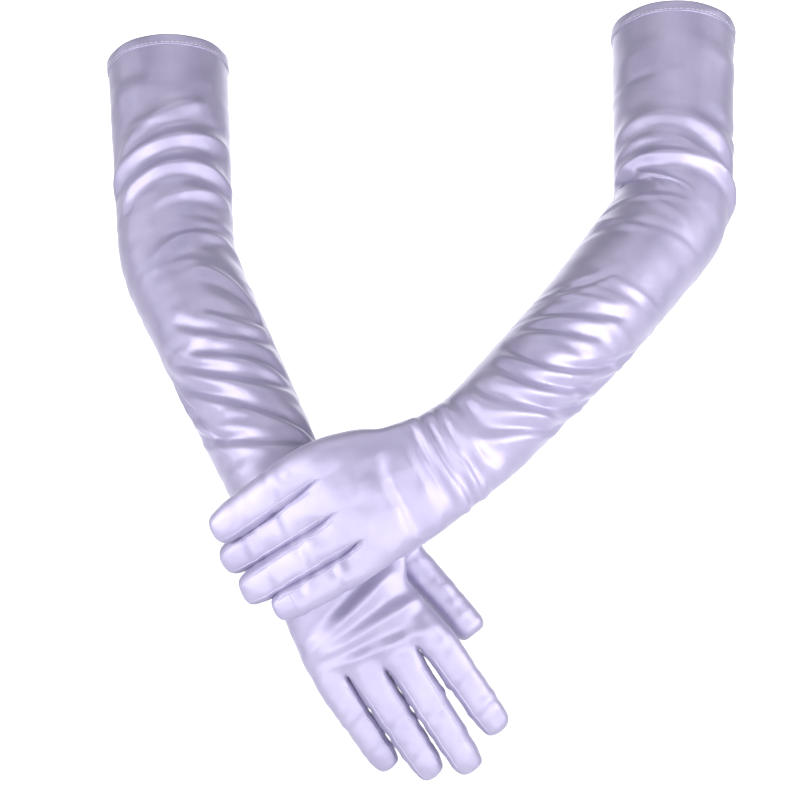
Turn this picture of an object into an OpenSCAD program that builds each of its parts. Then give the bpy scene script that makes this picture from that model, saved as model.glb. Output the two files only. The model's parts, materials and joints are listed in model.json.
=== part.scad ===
// A pair of opera gloves as worn, the left hand resting across the right wrist.
// Origin: centre of the right glove's arm opening. +X to the right, +Y away from the viewer, +Z up.
// Every list with two entries holds the right glove's value, then the left glove's.

/* [Sleeve] */
// Outer radius of the sleeve at the hem
hem_r = 38; // [37:0.5:42]
// Outer radius of the sleeve at the elbow
elbow_r = 35.5; // [33:0.5:38]
// Outer radius of the sleeve at the wrist
wrist_r = 27; // [25:0.5:28]
// Length from the right glove's hem to its elbow
right_upper_len = 137; // [120:1:160]
// Length from the left glove's hem to its elbow, a little less because it has slipped down
left_upper_len = 127; // [120:1:160]
// Length from the elbow to the wrist
forearm_len = 214; // [190:1:230]
// Thickness of the cloth as modelled
cloth_t = 1; // [0.6:0.1:1.2]

/* [Hem and seams] */
// Depth of the turned hem
hem_depth = 7; // [5:0.5:12]
// Number of stitches round the hem
stitch_count = 48; // [24:1:72]
// Width of the side seam's ridge, in degrees of the sleeve
seam_angle = 4; // [2:0.5:8]
// Height of the side seam's ridge
seam_height = 0.9; // [0.5:0.1:1.5]

/* [Hand] */
// Distance from the wrist to where the palm meets the knuckles
palm_len = 62; // [56:1:64]
// Breadth of the palm at the knuckles
palm_w = 74; // [72:1:78]
// Thickness of the hand at the knuckles
palm_t = 27; // [24:1:28]
// Breadth of the hand just past the wrist
heel_w = 57; // [54:1:62]
// Thickness of the hand just past the wrist
heel_t = 32; // [28:1:34]
// Length of the thumb from its hinge
thumb_len = 60; // [50:1:64]
// Radius of the thumb
thumb_r = 9.4; // [9:0.1:9.6]

/* [Pose] */
// Lean of the upper arms towards the viewer, in degrees
upper_lean = 18; // [14:1:24]
// Lean of the forearms towards the viewer, in degrees
forearm_lean = 32; // [30:1:34]
// Bend of the left middle finger over the right wrist, in degrees
left_finger_bend = 36; // [32:1:37]
// Bend of the right fingers, in degrees
right_finger_bend = 6; // [2:1:12]

/* [Hidden] */

RIGHT = 0;
LEFT = 1;
INDEX = 0;
MIDDLE = 1;
RING = 2;
LITTLE = 3;
TOWARD_THUMB = 1;
TOWARD_LITTLE = -1;

satin = [0.86, 0.84, 0.95];
thread = [0.97, 0.96, 1];
inner_satin = [0.78, 0.76, 0.9];

upper_len = [right_upper_len, left_upper_len];

// Where each glove's arm opening lies, and how far each limb swings sideways from straight down
hem_centre = [[0, 0, 0], [320, -20, 16]];
upper_swing = [5, -3];
forearm_swing = [28, -43];
hand_swing = [32, -64.5];
hand_lean = [4, 18];

// Length of the soft zones that bend, each side of their joint
elbow_zone = 18;
wrist_zone = 18;
heel_start = 14;

// Fingers in the hand's own frame: x along the hand, y towards the thumb, z out of its back.
// In the order index, middle, ring, little.
finger_len = [66, 74, 70, 62];
finger_r = [9, 9, 8.8, 8];
finger_hinge_x = [81, 83, 79, 71];
finger_hinge_y = [[31.5, 10.5, -10, -29], [29.7, 10.1, -9.3, -27.5]];
finger_spread = [[3, 0, 1, 2], [-11, -11, -9.5, -8]];
finger_bend = [
    [right_finger_bend, right_finger_bend - 1, right_finger_bend, right_finger_bend + 2],
    [left_finger_bend - 8, left_finger_bend, left_finger_bend - 8, left_finger_bend - 15]
];
// How far past its hinge each finger's firm part starts, and where the soft knuckles end
mouth_gap = 9;
knuckle_reach = [4, 4, 1, 2.5];
fourchette_w = 8;

// The thumb's hinge, and which way it points from there
thumb_hinge = [[36, 41.5, -15], [34, 24, -24]];
thumb_dir = [[62, 10, -1], [3, -42, -3]];
thumb_mouth_gap = 11;
thumb_root_back = [13, 8];
thumb_root_r = [12, 10.5];

function lean_dir(lean, swing) =
    [sin(swing) * cos(lean), -sin(lean), -cos(swing) * cos(lean)];
function unit(v) = v / norm(v);
function columns(x, y, z, o) =
    [[x[0], y[0], z[0], o[0]], [x[1], y[1], z[1], o[1]], [x[2], y[2], z[2], o[2]], [0, 0, 0, 1]];

upper_dir = [for (s = upper_swing) lean_dir(upper_lean, s)];
forearm_dir = [for (s = forearm_swing) lean_dir(forearm_lean, s)];
hand_dir = [for (g = [RIGHT, LEFT]) lean_dir(hand_lean[g], hand_swing[g])];
hand_across = [for (s = hand_swing) [cos(s), 0, sin(s)]];
elbow_at = [for (g = [RIGHT, LEFT]) hem_centre[g] + upper_len[g] * upper_dir[g]];
wrist_at = [for (g = [RIGHT, LEFT]) elbow_at[g] + forearm_len * forearm_dir[g]];
bend_normal = [for (g = [RIGHT, LEFT]) unit(cross(upper_dir[g], forearm_dir[g]))];
elbow_turn = [for (g = [RIGHT, LEFT]) acos(upper_dir[g] * forearm_dir[g])];

elbow_in_r = elbow_r - cloth_t;
// The turned hem lies just inside the tapering sleeve
hem_band_r = hem_r - cloth_t - 0.25;

// Frames. A sleeve's z runs down the arm and its x points into the elbow's bend.
module in_upper(g) {
    multmatrix(columns(cross(bend_normal[g], upper_dir[g]), bend_normal[g], upper_dir[g], hem_centre[g]))
        children();
}

module in_forearm(g) {
    multmatrix(columns(cross(bend_normal[g], forearm_dir[g]), bend_normal[g], forearm_dir[g], elbow_at[g]))
        children();
}

module in_hand(g) {
    multmatrix(columns(hand_dir[g], hand_across[g], cross(hand_dir[g], hand_across[g]), wrist_at[g]))
        mirror([0, g == LEFT ? 1 : 0, 0])
            children();
}

module in_finger(g, f) {
    translate([finger_hinge_x[f], finger_hinge_y[g][f], 0])
        rotate([0, finger_bend[g][f], finger_spread[g][f]])
            rotate([0, 90, 0])
                children();
}

module in_thumb(g) {
    d = unit(thumb_dir[g]);
    translate(thumb_hinge[g])
        rotate([0, acos(d[2]), atan2(d[1], d[0])])
            children();
}

// Sleeve pieces
module tube(z0, z1, r0, r1, t) {
    rotate_extrude($fn = 96)
        polygon([[r0 - t, z0], [r0, z0], [r1, z1], [r1 - t, z1]]);
}

module upper_tube(g) {
    tube(0, upper_len[g] - elbow_zone, hem_r, elbow_r, cloth_t);
}

// A hair's gap at each end keeps the seams to the bending pieces clear
module forearm_tube() {
    tube(elbow_zone + 0.03, forearm_len - wrist_zone - 0.03, elbow_r, wrist_r, cloth_t);
}

module elbow_bend(g) {
    bend_r = elbow_zone / tan(elbow_turn[g] / 2);
    translate([bend_r, 0, upper_len[g] - elbow_zone])
        rotate([90, 0, 180])
            rotate_extrude(angle = elbow_turn[g], $fn = 96)
                translate([bend_r, 0])
                    difference() {
                        circle(elbow_r, $fn = 96);
                        circle(elbow_in_r, $fn = 96);
                    }
}

module hem_ring() {
    tube(0, hem_depth, hem_band_r, hem_band_r, cloth_t);
}

module hem_stitches(g) {
    pitch = 360 / stitch_count;
    z = hem_depth - 1;
    slope = (hem_r - elbow_r) / (upper_len[g] - elbow_zone);
    for (i = [0 : stitch_count - 1])
        rotate([0, 0, i * pitch])
            rotate_extrude(angle = pitch * 0.6, $fn = 96)
                translate([hem_r - slope * z + 0.05, z])
                    square([0.5, 0.6]);
}

// A raised seam down a tapering tube, on the outer side of the arm
module sleeve_seam(z0, z1, r0, r1) {
    rotate([0, 0, 180 - seam_angle / 2])
        rotate_extrude(angle = seam_angle, $fn = 96)
            polygon([[r0 + 0.03, z0], [r0 + seam_height, z0], [r1 + seam_height, z1], [r1 + 0.03, z1]]);
}

// Hand pieces. A slice is a rounded outline across the hand, at x along it.
function outline(w, t, n = 2.6, steps = 36) = [
    for (i = [0 : steps - 1])
        let (c = cos(i * 360 / steps), s = sin(i * 360 / steps))
            [sign(s) * pow(abs(s), 2 / n) * t / 2, sign(c) * pow(abs(c), 2 / n) * w / 2]
];

module slice(x, w, t, y = 0) {
    translate([x, y, 0])
        rotate([0, 90, 0])
            linear_extrude(0.01)
                polygon(outline(w, t));
}

module palm_solid(inset, overrun) {
    hull() {
        slice(heel_start - overrun, heel_w - 2 * inset, heel_t - 2 * inset);
        slice((heel_start + palm_len) / 2, palm_w - 7 - 2 * inset, palm_t + 2 - 2 * inset, 1.5);
        slice(palm_len + overrun, palm_w - 2 * inset, palm_t - 2 * inset, 1.5);
    }
}

module palm_and_back(g) {
    difference() {
        palm_solid(0, 0);
        palm_solid(cloth_t, 0.2);
        in_thumb(g)
            translate([0, 0, -thumb_root_back[g]])
                cylinder(h = thumb_root_back[g], r = thumb_root_r[g] - 3, $fn = 32);
    }
}

module palm_seam() {
    difference() {
        hull() {
            translate([heel_start + 2, -heel_w / 2, -0.75])
                cube([1, 1, 1.5]);
            translate([palm_len - 3, -palm_w / 2 + 0.6, -0.75])
                cube([1, 1, 1.5]);
        }
        palm_solid(-0.05, 0);
    }
}

module wrist_skin(g, inset, overrun) {
    hull() {
        in_hand(g)
            slice(heel_start - 0.02 + overrun, heel_w - 2 * inset, heel_t - 2 * inset);
        in_forearm(g)
            translate([0, 0, forearm_len - wrist_zone - overrun])
                cylinder(h = 0.02, r = wrist_r - inset, $fn = 36);
    }
}

module wrist_sleeve(g) {
    difference() {
        wrist_skin(g, 0, 0);
        wrist_skin(g, cloth_t, 0.3);
    }
}

module knuckle_solid(g, inset, overrun) {
    hull() {
        slice(palm_len + 0.03 - overrun, palm_w - 2 * inset, palm_t - 2 * inset, 1.5);
        for (f = [INDEX : LITTLE])
            in_finger(g, f)
                translate([0, 0, knuckle_reach[f] + overrun])
                    cylinder(h = 0.1, r = finger_r[f] - inset, $fn = 24);
    }
}

module knuckles(g) {
    difference() {
        knuckle_solid(g, 0, 0);
        knuckle_solid(g, cloth_t, 0.3);
    }
}

// A fingertip's profile: a straight wall that closes over a blunt dome
module digit_shell(r_root, r_tip, start, end) {
    tip = end - r_tip;
    rotate_extrude($fn = 64)
        difference() {
            union() {
                polygon([[0, start], [r_root, start], [r_tip, tip], [0, tip]]);
                intersection() {
                    translate([0, tip])
                        circle(r_tip, $fn = 64);
                    translate([0, tip - 0.01])
                        square(r_tip * 2);
                }
            }
            polygon([[-1, start - 1], [r_root - cloth_t, start - 1], [r_root - cloth_t, start],
                     [r_tip - cloth_t, tip], [-1, tip]]);
            intersection() {
                translate([0, tip])
                    circle(r_tip - cloth_t, $fn = 64);
                translate([-r_tip, tip - 0.02])
                    square(r_tip * 2);
            }
        }
}

module finger_shell(f) {
    digit_shell(finger_r[f], finger_r[f] - 1, mouth_gap, finger_len[f]);
}

// The strip of a finger's wall that faces its neighbour
module side_slot(f, side, w) {
    length = finger_len[f] - mouth_gap - finger_r[f];
    start_y = side == TOWARD_THUMB ? 0 : -20;
    translate([-w / 2, start_y, mouth_gap - 1])
        cube([w, 20, length + 1]);
}

module fourchette(f, side) {
    intersection() {
        finger_shell(f);
        side_slot(f, side, fourchette_w - 0.1);
    }
}

module finger_stall(f, sides) {
    difference() {
        finger_shell(f);
        for (s = sides)
            side_slot(f, s, fourchette_w);
    }
}

module thumb_stall() {
    digit_shell(thumb_r, thumb_r - 1, thumb_mouth_gap, thumb_len);
}

module thumb_gusset(g) {
    difference() {
        in_thumb(g)
            tube(-thumb_root_back[g], thumb_mouth_gap - 0.1, thumb_root_r[g], thumb_r, cloth_t);
        palm_solid(-0.1, 0);
        knuckle_solid(g, -0.1, 0);
    }
}

// One module per named piece
module right_hem_band() { color(satin) in_upper(RIGHT) hem_ring(); }
module right_hem_stitching() { color(thread) in_upper(RIGHT) hem_stitches(RIGHT); }
module right_upper_sleeve() { color(satin) in_upper(RIGHT) upper_tube(RIGHT); }
module right_upper_seam() {
    color(thread) in_upper(RIGHT)
        sleeve_seam(hem_depth + 1, upper_len[RIGHT] - elbow_zone, hem_r - 0.2, elbow_r);
}
module right_elbow_sleeve() { color(inner_satin) in_upper(RIGHT) elbow_bend(RIGHT); }
module right_forearm_sleeve() { color(satin) in_forearm(RIGHT) forearm_tube(); }
module right_forearm_seam() {
    color(thread) in_forearm(RIGHT)
        sleeve_seam(elbow_zone, forearm_len - wrist_zone, elbow_r, wrist_r);
}
module right_wrist_sleeve() { color(inner_satin) wrist_sleeve(RIGHT); }
module right_palm_and_back() { color(satin) in_hand(RIGHT) palm_and_back(RIGHT); }
module right_palm_seam() { color(thread) in_hand(RIGHT) palm_seam(); }
module right_knuckles() { color(inner_satin) in_hand(RIGHT) knuckles(RIGHT); }
module right_index_finger() {
    color(satin) in_hand(RIGHT) in_finger(RIGHT, INDEX) finger_stall(INDEX, [TOWARD_LITTLE]);
}
module right_middle_finger() {
    color(satin) in_hand(RIGHT) in_finger(RIGHT, MIDDLE) finger_stall(MIDDLE, [TOWARD_THUMB, TOWARD_LITTLE]);
}
module right_ring_finger() {
    color(satin) in_hand(RIGHT) in_finger(RIGHT, RING) finger_stall(RING, [TOWARD_THUMB, TOWARD_LITTLE]);
}
module right_little_finger() {
    color(satin) in_hand(RIGHT) in_finger(RIGHT, LITTLE) finger_stall(LITTLE, [TOWARD_THUMB]);
}
module right_thumb_gusset() { color(inner_satin) in_hand(RIGHT) thumb_gusset(RIGHT); }
module right_thumb() { color(satin) in_hand(RIGHT) in_thumb(RIGHT) thumb_stall(); }
module right_fourchette_1_index() {
    color(inner_satin) in_hand(RIGHT) in_finger(RIGHT, INDEX) fourchette(INDEX, TOWARD_LITTLE);
}
module right_fourchette_1_middle() {
    color(inner_satin) in_hand(RIGHT) in_finger(RIGHT, MIDDLE) fourchette(MIDDLE, TOWARD_THUMB);
}
module right_fourchette_2_middle() {
    color(inner_satin) in_hand(RIGHT) in_finger(RIGHT, MIDDLE) fourchette(MIDDLE, TOWARD_LITTLE);
}
module right_fourchette_2_ring() {
    color(inner_satin) in_hand(RIGHT) in_finger(RIGHT, RING) fourchette(RING, TOWARD_THUMB);
}
module right_fourchette_3_ring() {
    color(inner_satin) in_hand(RIGHT) in_finger(RIGHT, RING) fourchette(RING, TOWARD_LITTLE);
}
module right_fourchette_3_little() {
    color(inner_satin) in_hand(RIGHT) in_finger(RIGHT, LITTLE) fourchette(LITTLE, TOWARD_THUMB);
}

module left_hem_band() { color(satin) in_upper(LEFT) hem_ring(); }
module left_hem_stitching() { color(thread) in_upper(LEFT) hem_stitches(LEFT); }
module left_upper_sleeve() { color(satin) in_upper(LEFT) upper_tube(LEFT); }
module left_upper_seam() {
    color(thread) in_upper(LEFT)
        sleeve_seam(hem_depth + 1, upper_len[LEFT] - elbow_zone, hem_r - 0.2, elbow_r);
}
module left_elbow_sleeve() { color(inner_satin) in_upper(LEFT) elbow_bend(LEFT); }
module left_forearm_sleeve() { color(satin) in_forearm(LEFT) forearm_tube(); }
module left_forearm_seam() {
    color(thread) in_forearm(LEFT)
        sleeve_seam(elbow_zone, forearm_len - wrist_zone, elbow_r, wrist_r);
}
module left_wrist_sleeve() { color(inner_satin) wrist_sleeve(LEFT); }
module left_palm_and_back() { color(satin) in_hand(LEFT) palm_and_back(LEFT); }
module left_palm_seam() { color(thread) in_hand(LEFT) palm_seam(); }
module left_knuckles() { color(inner_satin) in_hand(LEFT) knuckles(LEFT); }
module left_index_finger() {
    color(satin) in_hand(LEFT) in_finger(LEFT, INDEX) finger_stall(INDEX, [TOWARD_LITTLE]);
}
module left_middle_finger() {
    color(satin) in_hand(LEFT) in_finger(LEFT, MIDDLE) finger_stall(MIDDLE, [TOWARD_THUMB, TOWARD_LITTLE]);
}
module left_ring_finger() {
    color(satin) in_hand(LEFT) in_finger(LEFT, RING) finger_stall(RING, [TOWARD_THUMB, TOWARD_LITTLE]);
}
module left_little_finger() {
    color(satin) in_hand(LEFT) in_finger(LEFT, LITTLE) finger_stall(LITTLE, [TOWARD_THUMB]);
}
module left_thumb_gusset() { color(inner_satin) in_hand(LEFT) thumb_gusset(LEFT); }
module left_thumb() { color(satin) in_hand(LEFT) in_thumb(LEFT) thumb_stall(); }
module left_fourchette_1_index() {
    color(inner_satin) in_hand(LEFT) in_finger(LEFT, INDEX) fourchette(INDEX, TOWARD_LITTLE);
}
module left_fourchette_1_middle() {
    color(inner_satin) in_hand(LEFT) in_finger(LEFT, MIDDLE) fourchette(MIDDLE, TOWARD_THUMB);
}
module left_fourchette_2_middle() {
    color(inner_satin) in_hand(LEFT) in_finger(LEFT, MIDDLE) fourchette(MIDDLE, TOWARD_LITTLE);
}
module left_fourchette_2_ring() {
    color(inner_satin) in_hand(LEFT) in_finger(LEFT, RING) fourchette(RING, TOWARD_THUMB);
}
module left_fourchette_3_ring() {
    color(inner_satin) in_hand(LEFT) in_finger(LEFT, RING) fourchette(RING, TOWARD_LITTLE);
}
module left_fourchette_3_little() {
    color(inner_satin) in_hand(LEFT) in_finger(LEFT, LITTLE) fourchette(LITTLE, TOWARD_THUMB);
}

right_hem_band();
right_hem_stitching();
right_upper_sleeve();
right_upper_seam();
right_elbow_sleeve();
right_forearm_sleeve();
right_forearm_seam();
right_wrist_sleeve();
right_palm_and_back();
right_palm_seam();
right_knuckles();
right_index_finger();
right_middle_finger();
right_ring_finger();
right_little_finger();
right_thumb_gusset();
right_thumb();
right_fourchette_1_index();
right_fourchette_1_middle();
right_fourchette_2_middle();
right_fourchette_2_ring();
right_fourchette_3_ring();
right_fourchette_3_little();
left_hem_band();
left_hem_stitching();
left_upper_sleeve();
left_upper_seam();
left_elbow_sleeve();
left_forearm_sleeve();
left_forearm_seam();
left_wrist_sleeve();
left_palm_and_back();
left_palm_seam();
left_knuckles();
left_index_finger();
left_middle_finger();
left_ring_finger();
left_little_finger();
left_thumb_gusset();
left_thumb();
left_fourchette_1_index();
left_fourchette_1_middle();
left_fourchette_2_middle();
left_fourchette_2_ring();
left_fourchette_3_ring();
left_fourchette_3_little();
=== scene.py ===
"""A pair of long satin opera gloves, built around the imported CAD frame.

Each glove is one cage of four-sided faces that is subdivided, folded and then cut into one piece
for each part that moves. Places come from the frame's joints, mounts and nodes. Lengths are in metres.
"""

import json

import bpy
import numpy as np
from mathutils import Vector
from mathutils.bvhtree import BVHTree
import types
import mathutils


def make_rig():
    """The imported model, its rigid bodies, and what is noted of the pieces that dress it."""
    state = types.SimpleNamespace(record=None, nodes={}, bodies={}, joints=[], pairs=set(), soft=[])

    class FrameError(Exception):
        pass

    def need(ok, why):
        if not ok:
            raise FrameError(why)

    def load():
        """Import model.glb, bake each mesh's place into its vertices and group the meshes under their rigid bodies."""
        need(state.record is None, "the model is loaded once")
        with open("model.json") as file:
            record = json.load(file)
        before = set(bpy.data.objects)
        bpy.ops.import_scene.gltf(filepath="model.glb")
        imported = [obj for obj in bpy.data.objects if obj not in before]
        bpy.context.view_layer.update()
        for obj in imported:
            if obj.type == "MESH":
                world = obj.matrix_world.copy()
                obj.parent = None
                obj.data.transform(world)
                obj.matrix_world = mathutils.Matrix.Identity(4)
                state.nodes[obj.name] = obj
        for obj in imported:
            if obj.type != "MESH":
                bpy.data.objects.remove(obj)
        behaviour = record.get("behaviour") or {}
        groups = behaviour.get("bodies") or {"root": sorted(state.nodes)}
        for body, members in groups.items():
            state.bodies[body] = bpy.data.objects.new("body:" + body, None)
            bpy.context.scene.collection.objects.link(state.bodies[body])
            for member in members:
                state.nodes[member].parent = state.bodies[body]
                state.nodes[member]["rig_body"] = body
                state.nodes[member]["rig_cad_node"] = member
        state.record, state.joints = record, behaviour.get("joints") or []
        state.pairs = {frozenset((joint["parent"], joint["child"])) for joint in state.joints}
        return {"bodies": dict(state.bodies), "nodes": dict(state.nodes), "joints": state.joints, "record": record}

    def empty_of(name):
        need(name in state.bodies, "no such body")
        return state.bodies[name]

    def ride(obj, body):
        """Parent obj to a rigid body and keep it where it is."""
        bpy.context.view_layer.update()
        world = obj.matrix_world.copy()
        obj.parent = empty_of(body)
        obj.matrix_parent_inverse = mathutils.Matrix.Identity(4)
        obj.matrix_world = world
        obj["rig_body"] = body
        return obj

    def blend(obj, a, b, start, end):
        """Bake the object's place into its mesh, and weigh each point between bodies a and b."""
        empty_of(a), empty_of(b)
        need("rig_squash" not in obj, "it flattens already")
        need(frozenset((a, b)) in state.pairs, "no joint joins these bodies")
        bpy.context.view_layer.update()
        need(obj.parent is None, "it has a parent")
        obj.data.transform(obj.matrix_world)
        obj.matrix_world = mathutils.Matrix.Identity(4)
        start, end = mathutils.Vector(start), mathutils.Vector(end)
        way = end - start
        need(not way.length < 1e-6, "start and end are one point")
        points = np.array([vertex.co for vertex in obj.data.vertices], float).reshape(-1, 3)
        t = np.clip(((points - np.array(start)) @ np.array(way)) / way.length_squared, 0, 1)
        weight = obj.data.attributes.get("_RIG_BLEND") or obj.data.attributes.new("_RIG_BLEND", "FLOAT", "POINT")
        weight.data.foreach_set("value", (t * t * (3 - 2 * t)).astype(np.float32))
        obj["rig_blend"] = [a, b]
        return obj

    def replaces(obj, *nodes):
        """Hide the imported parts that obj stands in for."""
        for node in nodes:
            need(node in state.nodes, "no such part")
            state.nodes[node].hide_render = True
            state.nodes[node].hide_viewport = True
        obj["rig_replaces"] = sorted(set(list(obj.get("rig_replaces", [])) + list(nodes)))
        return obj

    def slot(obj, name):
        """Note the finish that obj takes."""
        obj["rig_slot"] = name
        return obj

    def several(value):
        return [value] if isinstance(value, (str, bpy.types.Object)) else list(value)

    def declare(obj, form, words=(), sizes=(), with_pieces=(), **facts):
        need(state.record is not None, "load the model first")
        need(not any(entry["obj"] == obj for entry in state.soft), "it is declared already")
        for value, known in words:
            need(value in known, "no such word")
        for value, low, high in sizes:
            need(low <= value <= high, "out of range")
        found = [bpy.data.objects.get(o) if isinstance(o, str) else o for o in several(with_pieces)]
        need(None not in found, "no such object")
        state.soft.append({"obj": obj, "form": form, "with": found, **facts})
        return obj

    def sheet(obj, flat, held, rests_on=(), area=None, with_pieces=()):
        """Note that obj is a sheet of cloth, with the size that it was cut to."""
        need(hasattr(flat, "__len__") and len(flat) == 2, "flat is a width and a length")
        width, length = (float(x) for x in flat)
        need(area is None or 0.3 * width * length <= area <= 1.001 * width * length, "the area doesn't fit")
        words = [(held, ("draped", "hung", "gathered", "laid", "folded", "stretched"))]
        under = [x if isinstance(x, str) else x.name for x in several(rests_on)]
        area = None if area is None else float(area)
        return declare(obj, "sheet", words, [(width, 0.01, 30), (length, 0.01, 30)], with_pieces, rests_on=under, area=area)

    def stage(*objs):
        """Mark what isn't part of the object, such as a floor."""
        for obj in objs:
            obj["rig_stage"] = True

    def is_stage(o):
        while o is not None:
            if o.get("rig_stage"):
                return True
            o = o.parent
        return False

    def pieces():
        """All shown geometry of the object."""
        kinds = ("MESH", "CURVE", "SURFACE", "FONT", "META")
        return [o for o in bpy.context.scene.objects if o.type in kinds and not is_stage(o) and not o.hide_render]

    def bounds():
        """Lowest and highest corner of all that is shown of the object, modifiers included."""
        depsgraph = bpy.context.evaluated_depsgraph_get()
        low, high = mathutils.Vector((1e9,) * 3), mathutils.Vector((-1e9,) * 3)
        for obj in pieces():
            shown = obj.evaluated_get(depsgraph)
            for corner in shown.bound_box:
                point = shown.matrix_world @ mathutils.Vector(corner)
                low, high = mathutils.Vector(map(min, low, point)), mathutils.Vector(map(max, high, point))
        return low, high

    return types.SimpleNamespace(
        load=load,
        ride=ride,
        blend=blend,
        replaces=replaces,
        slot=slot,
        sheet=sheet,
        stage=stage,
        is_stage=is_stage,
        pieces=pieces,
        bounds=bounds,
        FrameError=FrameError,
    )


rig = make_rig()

MM = 0.001
COLUMNS = 20  # cage points around a sleeve and around the palm
FINGERS = ("index", "middle", "ring", "little")
LEVELS = 3  # subdivision steps from the cage to the finished surface
RELAX_SHARE = 0.3  # how far a point moves to its neighbours' mean, after folding
BORDER_MARGIN = 2.5 * MM  # how far a bending piece reaches past each end of its bend
LINING = 0.8 * MM  # the sleeve cloth's thickness
TIP_POINTS = 40  # the farthest points of a finger's CAD node, whose mean gives its direction

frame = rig.load()
cad_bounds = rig.bounds()
joints = {joint["name"]: joint for joint in frame["joints"]}
mounts = {mount["name"]: mount for mount in frame["record"]["mounts"]}


# ---------------------------------------------------------------- small vector helpers


def unit(v):
    """v scaled to length 1, along its last axis."""
    v = np.asarray(v, float)
    return v / np.linalg.norm(v, axis=-1, keepdims=True)


def across(v, axis):
    """The part of v that is square to axis, as a unit vector."""
    v = np.asarray(v, float)
    return unit(v - (v * axis).sum(-1, keepdims=True) * axis)


def ramp(x, low, high):
    """0 below low, 1 above high, and smooth between."""
    t = np.clip((x - low) / (high - low), 0, 1)
    return t * t * (3 - 2 * t)


def bump(x, width):
    """A smooth hill of height 1 over x = 0."""
    return np.exp(-((x / width) ** 2))


def interpolated(s, stops, rows):
    """The value at s of rows of three numbers, which belong to stops."""
    return np.array([np.interp(s, stops, rows[:, k]) for k in range(3)]).T


def smooth_rows(rows, sigma):
    """rows averaged along the first axis, with the ends carried on straight."""
    reach = int(3 * sigma)
    kernel = np.exp(-np.arange(-reach, reach + 1) ** 2 / (2 * sigma**2))
    kernel /= kernel.sum()
    before = 2 * rows[0] - rows[1 : reach + 1][::-1]
    after = 2 * rows[-1] - rows[-reach - 1 : -1][::-1]
    padded = np.vstack([before, rows, after])
    return np.array([np.convolve(padded[:, k], kernel, "valid") for k in range(rows.shape[1])]).T


# ---------------------------------------------------------------- the gloves' measures


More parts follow.
